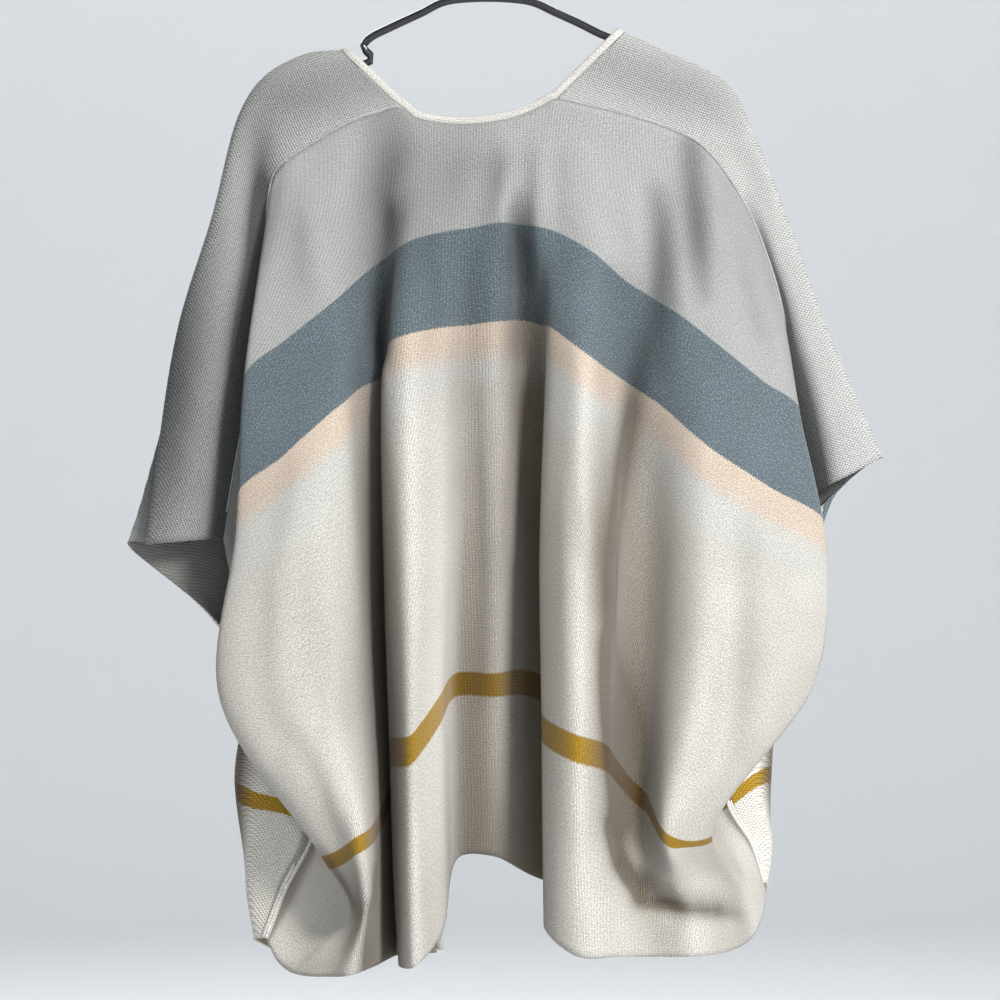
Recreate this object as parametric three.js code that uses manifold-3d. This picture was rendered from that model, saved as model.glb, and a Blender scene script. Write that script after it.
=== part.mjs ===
// Open-fronted sweater poncho on a plastic clothes hanger. Millimetres, +Z up.
// The origin is the inside top of the hanger's hook, where a rail or a peg carries it.
// The garment's back faces -Y. Every cloth piece is a wall thickened from one smooth sheet, and each
// sheet is drawn through the folds of a short table: a row for each fold, a column for each level down
// the cloth. "across" is +X, "down" is -Z and "out" is -Y, away from the wearer's back.
import * as THREE from "three";
import Module from "manifold-3d";
import { mergeVertices } from "three/addons/utils/BufferGeometryUtils.js";

const CLOTH_WALL = 2.4; // double-bed knit
const SEAM_GAP = 0.3; // between two pieces that are sewn edge to edge
const BAND_HALF_WIDTH = 3.6; // rolled edging round the neck and down both front edges
const BAND_HALF_THICKNESS = 2.2;
const BAND_SIDES = 6;
const BAND_STEP = 0.25; // levels from one ring of the edging to the next
const BAND_ROOM = 0.1; // more room beside the seam, where the edge curves
const WELT_HALF_WIDTH = 4.5; // flat-felled side seams
const WELT_THICKNESS = 1.8;
const WELT_FACE_SHARE = 0.6; // width of its outer face, as a share of its foot
const WELT_TOP = 3.6; // level at which the side seam ends and the arm opening begins
const WELT_LIFT = 1.2; // between the welt and the panels under it
const ARM_OPENING_STEP = 14; // how far the front stands behind the back where the arm opening begins
const ARM_OPENING_SPREAD = 10; // and how far beside it
const ROD_RADIUS = 3.6; // hanger
const ROD_SIDES = 12;
const ROD_STEPS = 4; // rings for each point of its line
const SHOULDER_ROLL = 6.5; // how far the cloth stands off the hanger's plane just below the shoulder crest
const SHOULDER_DROP = 6; // and how far below the crest that is

// ---- tables ------------------------------------------------------------------------------------

const BACK_LEVELS = ["top edge", "slate top", "peach foot", "waist", "mustard", "fold tip", "hem"];
const BACK_ROWS = [4, 3, 4, 5, 3, 3]; // grid rows between neighbouring levels
const BACK_COLUMNS = 3; // grid columns between neighbouring folds
const BACK_FOLDS = [
  { fold: "left side edge", across: [-238, -230, -203, -169, -156, -184, -200],
    down: [545, 583, 642, 705, 801, 862, 905],
    out: [4, 2, 0, -2, 0, 2, 4] },
  { fold: "left tuck", across: [-200, -176, -142, -129, -126, -130, -187],
    down: [318, 471, 592, 732, 815, 868, 927],
    out: [-1, 6, 10, 14, 18, 6, 14] },
  { fold: "left fold edge", across: [-190, -217, -224, -238, -147, -122, -171],
    down: [217, 402, 541, 688, 828, 878, 935],
    out: [7, 29, 38, 42, 50, 42, 30] },
  { fold: "left lobe, outer", across: [-156, -178, -183, -192, -131, -115, -142],
    down: [191, 367, 507, 691, 821, 876, 936],
    out: [12, 34, 52, 66, 66, 52, 44] },
  { fold: "left lobe, inner", across: [-120, -138, -142, -138, -115, -108, -122],
    down: [171, 335, 470, 682, 808, 872, 933],
    out: [13, 36, 56, 72, 76, 64, 60] },
  { fold: "left lobe, rim", across: [-98, -113, -116, -112, -101, -101, -104],
    down: [163, 312, 446, 646, 794, 870, 927],
    out: [11, 32, 36, 38, 44, 48, 50] },
  { fold: "deep valley", across: [-79, -95, -94, -91, -83, -82, -81],
    down: [159, 297, 434, 610, 750, 852, 921],
    out: [10, 30, 16, -4, -12, -10, -6] },
  { fold: "ridge overhang", across: [-66, -82, -92, -90, -86, -82, -77],
    down: [168, 286, 402, 579, 725, 848, 927],
    out: [10, 31, 40, 38, 38, 40, 44] },
  { fold: "ridge crest", across: [-50, -66, -71, -70, -68, -66, -65],
    down: [172, 278, 393, 565, 720, 846, 925],
    out: [9, 31, 50, 62, 66, 66, 66] },
  { fold: "ridge, right flank", across: [-30, -43, -43, -43, -45, -43, -42],
    down: [174, 272, 387, 552, 688, 816, 898],
    out: [8, 26, 38, 44, 44, 44, 44] },
  { fold: "plateau, left", across: [-12, -18, -20, -23, -29, -28, -27],
    down: [174, 268, 384, 529, 667, 767, 833],
    out: [8, 20, 22, 16, 8, 3, 0] },
  { fold: "plateau, middle", across: [11, 11, 9, 7, 5, 4, 4],
    down: [171, 263, 381, 525, 667, 766, 831],
    out: [9, 24, 28, 24, 16, 9, 4] },
  { fold: "plateau, right", across: [31, 33, 31, 31, 34, 37, 38],
    down: [166, 265, 379, 522, 665, 776, 849],
    out: [10, 19, 11, -2, -10, -12, -12] },
  { fold: "hidden valley", across: [48, 46, 51, 58, 70, 74, 76],
    down: [158, 267, 384, 538, 682, 795, 867],
    out: [11, 24, 10, -8, -16, -16, -14] },
  { fold: "right lobe overhang", across: [61, 62, 55, 48, 49, 50, 51],
    down: [152, 272, 386, 554, 702, 816, 891],
    out: [12, 26, 34, 36, 36, 38, 40] },
  { fold: "right lobe crest", across: [92, 92, 90, 83, 78, 80, 81],
    down: [158, 289, 414, 574, 719, 838, 916],
    out: [13, 34, 54, 68, 72, 70, 70] },
  { fold: "right lobe, soft side", across: [128, 128, 123, 119, 112, 117, 119],
    down: [167, 318, 431, 592, 731, 846, 916],
    out: [14, 32, 48, 60, 62, 58, 64] },
  { fold: "soft trough", across: [159, 162, 150, 141, 137, 140, 150],
    down: [177, 339, 454, 628, 769, 850, 917],
    out: [14, 30, 38, 40, 40, 42, 54] },
  { fold: "outer ridge", across: [191, 202, 196, 191, 158, 172, 186],
    down: [193, 370, 496, 673, 806, 856, 916],
    out: [14, 34, 54, 68, 66, 56, 62] },
  { fold: "outer ridge, far side", across: [231, 245, 249, 249, 177, 204, 218],
    down: [248, 405, 529, 682, 814, 858, 912],
    out: [14, 34, 52, 62, 60, 52, 44] },
  { fold: "right fold edge", across: [264, 278, 302, 291, 199, 224, 236],
    down: [342, 431, 561, 673, 810, 856, 902],
    out: [12, 26, 34, 38, 42, 34, 28] },
  { fold: "right tuck", across: [272, 238, 204, 191, 182, 226, 247],
    down: [421, 484, 583, 714, 795, 838, 880],
    out: [4, 8, 10, 14, 18, 16, 14] },
  { fold: "right side edge", across: [294, 285, 267, 240, 216, 238, 249],
    down: [504, 552, 619, 700, 777, 820, 855],
    out: [4, 2, 0, -2, 0, 2, 4] },
];
const LEFT_NECK_CORNER = 6; // folds at which the neckline meets the shoulder seams
const RIGHT_NECK_CORNER = 14;

// A front panel starts at the shoulder seam on the back, rolls over the crest and falls down the front.
// "seamAt" is the place along the back panel's top edge that each fold of it is sewn to, and "rise" how
// far the strip between the seam and the crest swells outwards.
// Its table starts at the crest and then has the back panel's levels from the slate top down.
// Rows between seam, swell, back of roll, crest, front of roll and then the levels.
const FRONT_ROWS = [2, 2, 2, 2, 4, 3, 4, 5, 3, 3];
const SWELL_SHARE = 0.3; // of the way from the seam to the crest
const ROLL_END_LEVEL = 5; // front level below which the edging's rings stand further apart
const LEFT_FRONT_FOLDS = [
  { fold: "front edge", seamAt: 6, rise: 0, across: [-133, -122, -111, -93, -66, -50, -47],
    down: [107, 331, 457, 601, 763, 859, 923],
    out: [0, -16, -24, -34, -44, -48, -50] },
  { fold: "first pleat", seamAt: 4, rise: 1, across: [-162, -156, -151, -138, -124, -105, -93],
    down: [110, 340, 457, 637, 781, 869, 927],
    out: [0, -22, -40, -60, -70, -75, -78] },
  { fold: "hanger end", seamAt: 2.6, rise: 0, across: [-200, -187, -183, -178, -169, -147, -133],
    down: [130, 367, 484, 673, 808, 884, 934],
    out: [0, -24, -36, -48, -52, -57, -60] },
  { fold: "second pleat", seamAt: 1.7, rise: 0, across: [-222, -219, -214, -207, -203, -183, -169],
    down: [162, 385, 529, 691, 817, 890, 939],
    out: [0, -26, -48, -66, -72, -72, -72] },
  { fold: "flank", seamAt: 1.15, rise: 4, across: [-247, -248, -237, -223, -229, -212, -188],
    down: [255, 421, 565, 700, 768, 864, 922],
    out: [0, -22, -36, -48, -44, -44, -40] },
  { fold: "sleeve", seamAt: 0.55, rise: 9, across: [-279, -291, -255, -203, -203, -216, -210],
    down: [361, 471, 592, 699, 780, 856, 907],
    out: [0, -16, -22, -24, -12, -12, -8] },
  { fold: "side edge", seamAt: 0, rise: 11, across: [-307, -325, -254, -196, -156, -184, -200],
    down: [551, 550, 612, 691, 801, 862, 905],
    out: [-2, -16, -14, -12, 0, 2, 4] },
];
const RIGHT_FRONT_FOLDS = [
  { fold: "front edge", seamAt: 14, rise: 0, across: [123, 110, 101, 87, 76, 69, 65],
    down: [91, 331, 457, 601, 763, 852, 912],
    out: [0, -16, -24, -34, -44, -48, -50] },
  { fold: "first pleat", seamAt: 16, rise: 1, across: [157, 150, 146, 137, 130, 123, 119],
    down: [107, 340, 466, 637, 781, 862, 916],
    out: [0, -22, -40, -60, -70, -75, -78] },
  { fold: "hanger end", seamAt: 18, rise: 1, across: [216, 204, 195, 191, 177, 175, 173],
    down: [138, 367, 493, 673, 799, 872, 921],
    out: [0, -24, -36, -48, -52, -57, -60] },
  { fold: "second pleat", seamAt: 19, rise: 1, across: [239, 240, 238, 231, 222, 220, 218],
    down: [182, 394, 538, 691, 799, 867, 912],
    out: [0, -26, -48, -66, -72, -72, -72] },
  { fold: "flank", seamAt: 20, rise: 5, across: [271, 276, 272, 261, 257, 252, 244],
    down: [262, 421, 565, 691, 754, 832, 880],
    out: [0, -22, -36, -48, -44, -46, -40] },
  { fold: "sleeve", seamAt: 21, rise: 9, across: [305, 312, 292, 258, 238, 254, 251],
    down: [357, 457, 565, 682, 759, 820, 860],
    out: [0, -14, -20, -24, -12, -11, -8] },
  { fold: "side edge", seamAt: 22, rise: 11, across: [355, 337, 292, 254, 216, 238, 249],
    down: [473, 484, 529, 655, 777, 820, 855],
    out: [-2, -12, -12, -10, 0, 2, 4] },
];

// The hanger's rod, [across, down] in its own plane: flat bar under the hook, arm, strap notch, shoulder.
const LEFT_ARM = [[-36, 62], [-60, 73], [-88, 86], [-107, 96], [-112, 103], [-104, 114],
  [-115, 119], [-137, 114.5], [-162, 116.6], [-181, 125], [-197, 135.8]];
const RIGHT_ARM = [[36, 62], [60, 72], [84, 83], [102, 92], [121, 98.5], [139, 105],
  [157, 113.6], [186, 127.6], [206, 138.8]];
const HOOK_INNER_RADIUS = 17;
const HOOK_TURNS = { from: 200, to: -40, step: 20 }; // degrees round the hook, from its open tip to its neck
const HOOK_EASE = { across: 2, up: 4 }; // last bend into the straight neck
const HOOK_NECK_DOWN = 46;
const BAR_DOWN = 62;

// ---- sheets ------------------------------------------------------------------------------------

const place = (across, down, out) => new THREE.Vector3(across, -out, -down);

function splinePoint(points, at) {
  return new THREE.CatmullRomCurve3(points, false, "centripetal").getPoint(at / (points.length - 1));
}

// The places of one fold, or of a point between two folds, at every level of its table.
function foldPlaces(levelLines, fold) {
  return levelLines.map((line) => splinePoint(line, fold));
}

function levelLines(folds) {
  return folds[0].across.map((_, level) =>
    folds.map((row) => place(row.across[level], row.down[level], row.out[level])));
}

function stations(counts) {
  const list = [0];
  counts.forEach((count, span) => {
    for (let step = 1; step <= count; step += 1) list.push(span + step / count);
  });
  return list;
}

function even(spans, count) {
  return stations(new Array(spans).fill(count));
}

const backLines = levelLines(BACK_FOLDS);

function backPoint(fold, level) {
  return splinePoint(foldPlaces(backLines, fold), level);
}

// Position, outward normal and the way into the back panel, at one of its edges.
const PROBE = 0.02;
const TOWARDS_VIEWER = new THREE.Vector3(0, -1, 0);
const SEAM_LEAN = 3; // a shoulder seam lies open to the back even where the panels dive into a fold

function edgeFrame(fold, level, alongFold) {
  const lastFold = BACK_FOLDS.length - 1;
  const lastLevel = BACK_LEVELS.length - 1;
  const low = THREE.MathUtils.clamp(fold, PROBE, lastFold - PROBE);
  const deep = THREE.MathUtils.clamp(level, PROBE, lastLevel - PROBE);
  const acrossWay = backPoint(low + PROBE, deep).sub(backPoint(low - PROBE, deep)).normalize();
  const downWay = backPoint(low, deep + PROBE).sub(backPoint(low, deep - PROBE)).normalize();
  const along = alongFold ? acrossWay : downWay;
  const normal = acrossWay.clone().cross(downWay).normalize().negate();
  if (alongFold) normal.addScaledVector(TOWARDS_VIEWER, SEAM_LEAN);
  normal.addScaledVector(along, -normal.dot(along)).normalize();
  const inward = along.clone().cross(normal).normalize();
  const wanted = alongFold ? downWay : acrossWay.clone().multiplyScalar(fold < lastFold / 2 ? 1 : -1);
  if (inward.dot(wanted) < 0) inward.negate();
  return { point: backPoint(fold, level), normal, inward };
}

function gridNormals(grid) {
  return grid.map((column, i) => column.map((_, j) => {
    const before = grid[Math.max(i - 1, 0)][j];
    const after = grid[Math.min(i + 1, grid.length - 1)][j];
    const above = column[Math.max(j - 1, 0)];
    const below = column[Math.min(j + 1, column.length - 1)];
    return after.clone().sub(before).cross(below.clone().sub(above)).normalize().negate();
  }));
}

// A closed wall: the grid moved half the wall to each side, joined round its four edges.
function wallGeometry(grid, normals, wall = CLOTH_WALL) {
  const columns = grid.length;
  const rows = grid[0].length;
  const positions = [];
  for (const side of [0.5, -0.5]) {
    grid.forEach((column, i) => column.forEach((point, j) => {
      positions.push(...point.clone().addScaledVector(normals[i][j], side * wall).toArray());
    }));
  }
  const index = [];
  const at = (side, i, j) => side * columns * rows + i * rows + j;
  const quad = (a, b, c, d) => index.push(a, b, c, a, c, d);
  for (let i = 0; i < columns - 1; i += 1) {
    for (let j = 0; j < rows - 1; j += 1) {
      quad(at(0, i, j), at(0, i, j + 1), at(0, i + 1, j + 1), at(0, i + 1, j));
      quad(at(1, i, j), at(1, i + 1, j), at(1, i + 1, j + 1), at(1, i, j + 1));
    }
    quad(at(0, i, 0), at(0, i + 1, 0), at(1, i + 1, 0), at(1, i, 0));
    quad(at(0, i, rows - 1), at(1, i, rows - 1), at(1, i + 1, rows - 1), at(0, i + 1, rows - 1));
  }
  for (let j = 0; j < rows - 1; j += 1) {
    quad(at(0, 0, j), at(1, 0, j), at(1, 0, j + 1), at(0, 0, j + 1));
    quad(at(0, columns - 1, j), at(0, columns - 1, j + 1), at(1, columns - 1, j + 1), at(1, columns - 1, j));
  }
  return closedGeometry(positions, index);
}

function closedGeometry(positions, index) {
  let volume = 0;
  const corner = (n) => new THREE.Vector3().fromArray(positions, 3 * n);
  for (let n = 0; n < index.length; n += 3) {
    volume += corner(index[n]).dot(corner(index[n + 1]).cross(corner(index[n + 2])));
  }
  if (volume < 0) index.reverse();
  const geometry = new THREE.BufferGeometry();
  geometry.setAttribute("position", new THREE.Float32BufferAttribute(positions, 3));
  geometry.setIndex(index);
  geometry.computeVertexNormals();
  return geometry;
}

// Rings of equal count, joined into a closed tube.
function tubeGeometry(rings) {
  const sides = rings[0].length;
  const positions = rings.flat().flatMap((point) => point.toArray());
  const index = [];
  for (let ring = 0; ring < rings.length - 1; ring += 1) {
    for (let side = 0; side < sides; side += 1) {
      const next = (side + 1) % sides;
      const low = ring * sides;
      const high = low + sides;
      index.push(low + side, low + next, high + next, low + side, high + next, high + side);
    }
  }
  const last = (rings.length - 1) * sides;
  for (let side = 1; side < sides - 1; side += 1) {
    index.push(0, side + 1, side, last, last + side, last + side + 1);
  }
  return closedGeometry(positions, index);
}

// ---- back panel --------------------------------------------------------------------------------

// 0 where the side edges hang free as the arm opening, 1 where they are sewn together.
function sewnShare(level) {
  return THREE.MathUtils.smoothstep(level, WELT_TOP - 1, WELT_TOP);
}

function backGrid() {
  const lastFold = BACK_FOLDS.length - 1;
  const folds = even(lastFold, BACK_COLUMNS);
  const levels = stations(BACK_ROWS);
  const grid = folds.map((fold) => levels.map((level) => backPoint(fold, level)));
  const normals = gridNormals(grid);
  folds.forEach((fold, i) => {
    const frame = edgeFrame(fold, 0, true);
    grid[i][0].addScaledVector(frame.inward, SEAM_GAP / 2);
    normals[i][0] = frame.normal;
  });
  for (const fold of [0, lastFold]) {
    const i = fold === 0 ? 0 : folds.length - 1;
    levels.forEach((level, j) => {
      const sewn = sewnShare(level);
      if (sewn === 0) return;
      const frame = edgeFrame(fold, level, false);
      grid[i][j].addScaledVector(frame.inward, SEAM_GAP / 2);
      normals[i][j].lerp(frame.normal, sewn).normalize();
    });
  }
  return { grid, normals, levels };
}

// ---- front panels ------------------------------------------------------------------------------

function frontLines(folds) {
  const [crest, ...below] = levelLines(folds);
  const seam = folds.map((row) => edgeFrame(row.seamAt, 0, true));
  const roll = (side) => crest.map((point, n) => {
    const way = seam[n].point.clone().sub(point).setY(0).normalize();
    const across = new THREE.Vector3(0, side * SHOULDER_ROLL, 0);
    return point.clone().addScaledVector(way, SHOULDER_DROP).add(across);
  });
  const swell = folds.map((row, n) => seam[n].point.clone().lerp(crest[n], SWELL_SHARE)
    .add(new THREE.Vector3(0, -row.rise, 0)));
  return [seam.map((frame) => frame.point), swell, roll(-1), crest, roll(1), ...below];
}

function frontGrid(folds) {
  const lines = frontLines(folds);
  const columns = frontColumns(folds);
  const levels = stations(FRONT_ROWS);
  const sideFold = folds[folds.length - 1].seamAt;
  const grid = columns.map((column) => {
    const places = foldPlaces(lines, column);
    return levels.map((level) => splinePoint(places, level));
  });
  const normals = gridNormals(grid);
  if (folds[0].across[0] > 0) normals.forEach((column) => column.forEach((normal) => normal.negate()));
  const seamFolds = backColumnsAlong(folds);
  columns.forEach((column, i) => {
    const frame = edgeFrame(seamFolds[i], 0, true);
    grid[i][0].copy(frame.point).addScaledVector(frame.inward, -SEAM_GAP / 2);
    normals[i][0] = frame.normal;
  });
  const levelShift = lines.length - BACK_LEVELS.length; // from a back level to the front's at its stripe
  const last = columns.length - 1;
  levels.forEach((level, j) => {
    const sewn = sewnShare(level - levelShift);
    if (sewn === 0) return;
    const frame = edgeFrame(sideFold, level - levelShift, false);
    const apart = SEAM_GAP / 2 + ARM_OPENING_SPREAD * (1 - sewn);
    const onSeam = frame.point.clone().addScaledVector(frame.inward, -apart);
    grid[last][j].lerp(onSeam, sewn).addScaledVector(frame.normal, -ARM_OPENING_STEP * (1 - sewn));
    normals[last][j].lerp(frame.normal, sewn).normalize();
  });
  return { grid, normals };
}

// The back panel's grid columns that this front panel is sewn to, from the neck corner to the side.
function backColumnsAlong(folds) {
  const [from, to] = [folds[0].seamAt, folds[folds.length - 1].seamAt];
  const count = Math.round(Math.abs(to - from) * BACK_COLUMNS);
  return Array.from({ length: count + 1 }, (_, n) => from + ((to - from) * n) / count);
}

// The same columns, counted in this panel's own folds.
function frontColumns(folds) {
  return backColumnsAlong(folds).map((at) => {
    const past = (row, n) => n < folds.length - 1 && Math.abs(row.seamAt - folds[0].seamAt)
      <= Math.abs(at - folds[0].seamAt) + 1e-9;
    const low = folds.findLastIndex(past);
    return low + (at - folds[low].seamAt) / (folds[low + 1].seamAt - folds[low].seamAt);
  });
}

// ---- edging ------------------------------------------------------------------------------------

// One band: up the left front edge, round the back of the neck and down the right front edge.
function bandRings() {
  const leftEdge = frontEdgeRoute(LEFT_FRONT_FOLDS).reverse();
  const route = [...leftEdge, ...neckRoute(), ...frontEdgeRoute(RIGHT_FRONT_FOLDS)];
  const offset = BAND_HALF_WIDTH + SEAM_GAP + BAND_ROOM;
  const centres = route.map(({ point, away }) => point.clone().addScaledVector(away, offset));
  let before = route[0].normal;
  return centres.map((centre, n) => {
    const next = centres[Math.min(n + 1, centres.length - 1)];
    const along = next.clone().sub(centres[Math.max(n - 1, 0)]).normalize();
    const normal = route[n].normal.clone().addScaledVector(along, -route[n].normal.dot(along)).normalize();
    if (normal.dot(before) < 0) normal.negate(); // the band keeps one side out, with no twist
    before = normal;
    const wide = along.clone().cross(normal);
    const ring = [];
    for (let side = 0; side < BAND_SIDES; side += 1) {
      const angle = (2 * Math.PI * side) / BAND_SIDES;
      ring.push(centre.clone().addScaledVector(wide, BAND_HALF_WIDTH * Math.cos(angle))
        .addScaledVector(normal, BAND_HALF_THICKNESS * Math.sin(angle)));
    }
    return ring;
  });
}

function neckRoute() {
  const list = [];
  for (let fold = LEFT_NECK_CORNER + BAND_STEP; fold < RIGHT_NECK_CORNER; fold += BAND_STEP) {
    const frame = edgeFrame(fold, 0, true);
    list.push({ point: frame.point, normal: frame.normal, away: frame.inward.negate() });
  }
  return list;
}

function frontEdgeRoute(folds) {
  const lines = frontLines(folds);
  const edge = foldPlaces(lines, 0);
  const inside = foldPlaces(lines, PROBE);
  const list = [];
  const stepAt = (level) => (level < ROLL_END_LEVEL ? BAND_STEP : 2 * BAND_STEP);
  for (let level = 2 * BAND_STEP; level <= lines.length - 1; level += stepAt(level)) {
    const point = splinePoint(edge, level);
    const away = point.clone().sub(splinePoint(inside, level)).normalize();
    const along = splinePoint(edge, Math.min(level + PROBE, lines.length - 1))
      .sub(splinePoint(edge, level - PROBE)).normalize();
    const normal = along.clone().cross(away).normalize();
    away.copy(normal.clone().cross(along));
    if (folds[0].across[0] > 0) normal.negate();
    if (away.dot(point.clone().sub(splinePoint(inside, level))) < 0) away.negate();
    list.push({ point, normal, away });
  }
  return list;
}

// A flat strip laid over the side seam: its rings sit on the points of both panels, moved out.
function weltRings(back, front, fold) {
  const backColumn = fold === 0 ? 0 : back.grid.length - 1;
  const backNext = fold === 0 ? 1 : backColumn - 1;
  const frontColumn = front.grid.length - 1;
  const rowShift = front.grid[0].length - back.grid[0].length;
  const low = CLOTH_WALL / 2 + WELT_LIFT;
  const rings = [];
  back.levels.forEach((level, row) => {
    if (level < WELT_TOP) return;
    const frame = edgeFrame(fold, level, false);
    const leaf = (grid, column, next, j) => {
      const way = grid[next][j].clone().sub(grid[column][j]).normalize();
      const lift = frame.normal.clone().addScaledVector(way, -frame.normal.dot(way)).normalize();
      return (wide, high) => frame.point.clone().addScaledVector(way, wide * WELT_HALF_WIDTH)
        .addScaledVector(lift, low + high * WELT_THICKNESS);
    };
    const onBack = leaf(back.grid, backColumn, backNext, row);
    const onFront = leaf(front.grid, frontColumn, frontColumn - 1, row + rowShift);
    const middle = frame.point.clone().addScaledVector(frame.normal, low);
    const face = [onBack(WELT_FACE_SHARE, 1), onFront(WELT_FACE_SHARE, 1)];
    rings.push([onFront(1, 0), middle, onBack(1, 0), ...face]);
  });
  return rings;
}

// ---- hanger ------------------------------------------------------------------------------------

function rodGeometry(points) {
  const curve = new THREE.CatmullRomCurve3(points, false, "centripetal");
  const outline = new THREE.Shape();
  for (let side = 0; side < ROD_SIDES; side += 1) {
    const angle = (2 * Math.PI * side) / ROD_SIDES;
    const method = side === 0 ? "moveTo" : "lineTo";
    outline[method](ROD_RADIUS * Math.cos(angle), ROD_RADIUS * Math.sin(angle));
  }
  const steps = points.length * ROD_STEPS;
  return new THREE.ExtrudeGeometry(outline, { steps, bevelEnabled: false, extrudePath: curve });
}

function hookPoints() {
  const radius = HOOK_INNER_RADIUS + ROD_RADIUS;
  const points = [];
  for (let turn = HOOK_TURNS.from; turn >= HOOK_TURNS.to; turn -= HOOK_TURNS.step) {
    const angle = THREE.MathUtils.degToRad(turn);
    points.push(place(radius * Math.cos(angle), HOOK_INNER_RADIUS - radius * Math.sin(angle), 0));
  }
  points.push(place(HOOK_EASE.across, HOOK_NECK_DOWN - HOOK_EASE.up, 0));
  points.push(place(0, HOOK_NECK_DOWN, 0), place(0, BAR_DOWN, 0));
  return points;
}

const wasm = await Module();
wasm.setup();

function solidOf(geometry) {
  const bare = geometry.clone();
  bare.deleteAttribute("normal");
  bare.deleteAttribute("uv");
  const merged = mergeVertices(bare, 1e-4);
  return new wasm.Manifold(new wasm.Mesh({
    numProp: 3,
    vertProperties: merged.attributes.position.array,
    triVerts: Uint32Array.from(merged.index.array),
  }));
}

function geometryOf(solid) {
  const mesh = solid.getMesh();
  const geometry = new THREE.BufferGeometry();
  geometry.setAttribute("position", new THREE.BufferAttribute(mesh.vertProperties, 3));
  geometry.setIndex(new THREE.BufferAttribute(mesh.triVerts, 1));
  geometry.computeVertexNormals();
  return geometry;
}

function hangerGeometry() {
  const flat = ([across, down]) => place(across, down, 0);
  const body = rodGeometry([...LEFT_ARM.slice().reverse().map(flat), ...RIGHT_ARM.map(flat)]);
  return geometryOf(solidOf(body).add(solidOf(rodGeometry(hookPoints()))));
}

// ---- assembly ----------------------------------------------------------------------------------

const group = new THREE.Group();

function addPart(name, geometry, color, roughness, metalness = 0) {
  const mesh = new THREE.Mesh(geometry, new THREE.MeshStandardMaterial({ color, roughness, metalness }));
  mesh.name = name;
  group.add(mesh);
}

const back = backGrid();
const fronts = { left: frontGrid(LEFT_FRONT_FOLDS), right: frontGrid(RIGHT_FRONT_FOLDS) };
addPart("back_panel", wallGeometry(back.grid, back.normals), 0xd8d5cc, 0.95);
addPart("front_panel_left", wallGeometry(fronts.left.grid, fronts.left.normals), 0xb9b9b6, 0.95);
addPart("front_panel_right", wallGeometry(fronts.right.grid, fronts.right.normals), 0xc6c9c9, 0.95);
addPart("neckband", tubeGeometry(bandRings()), 0xe2ded4, 0.95);
addPart("side_seam_left", tubeGeometry(weltRings(back, fronts.left, 0)), 0xdad7cf, 0.95);
const rightWelt = weltRings(back, fronts.right, BACK_FOLDS.length - 1);
addPart("side_seam_right", tubeGeometry(rightWelt), 0xdad7cf, 0.95);
addPart("hanger", hangerGeometry(), 0x0c0c0e, 0.25);

export default group;
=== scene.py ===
import bpy, bmesh, math
import numpy as np
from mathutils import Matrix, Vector


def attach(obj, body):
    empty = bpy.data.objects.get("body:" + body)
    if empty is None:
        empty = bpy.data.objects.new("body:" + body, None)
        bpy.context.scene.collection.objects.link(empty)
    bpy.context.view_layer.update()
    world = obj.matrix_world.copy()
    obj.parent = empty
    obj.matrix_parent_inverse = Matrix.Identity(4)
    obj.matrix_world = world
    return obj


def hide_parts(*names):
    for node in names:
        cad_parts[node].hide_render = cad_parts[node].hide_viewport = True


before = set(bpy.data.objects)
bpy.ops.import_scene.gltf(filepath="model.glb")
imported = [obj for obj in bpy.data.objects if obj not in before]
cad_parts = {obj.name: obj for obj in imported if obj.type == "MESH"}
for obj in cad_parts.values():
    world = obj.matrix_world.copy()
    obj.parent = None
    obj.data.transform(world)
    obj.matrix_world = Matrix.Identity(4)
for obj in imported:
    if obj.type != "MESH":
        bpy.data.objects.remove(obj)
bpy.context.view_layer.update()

mm = 0.001
tiny = 1e-6  # keeps loops and divisions clear of rounding
print("stage: frame loaded")

# Places are written as on a wall chart: across to the right, down from the hook, out towards the
# side that the garment's back faces, all in millimetres.
def place(across, down, out=0.0):
    return Vector((across * mm, -out * mm, -down * mm))


# camera, square to the hanging garment: distance and picture width in metres, the rest in millimetres
viewPoint = {"distance": 4.5, "across": 11, "down": 511, "pictureWidth": 0.900, "sensor": 36}

def addCamera():
    data = bpy.data.cameras.new("camera")
    data.sensor_width = viewPoint["sensor"]
    data.lens = viewPoint["sensor"] * viewPoint["distance"] / viewPoint["pictureWidth"]
    camera = bpy.data.objects.new("camera", data)
    camera.location = place(viewPoint["across"], viewPoint["down"], viewPoint["distance"] / mm)
    camera.rotation_euler = (math.radians(90), 0, 0)
    bpy.context.scene.collection.objects.link(camera)
    bpy.context.scene.camera = camera

addCamera()


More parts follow.
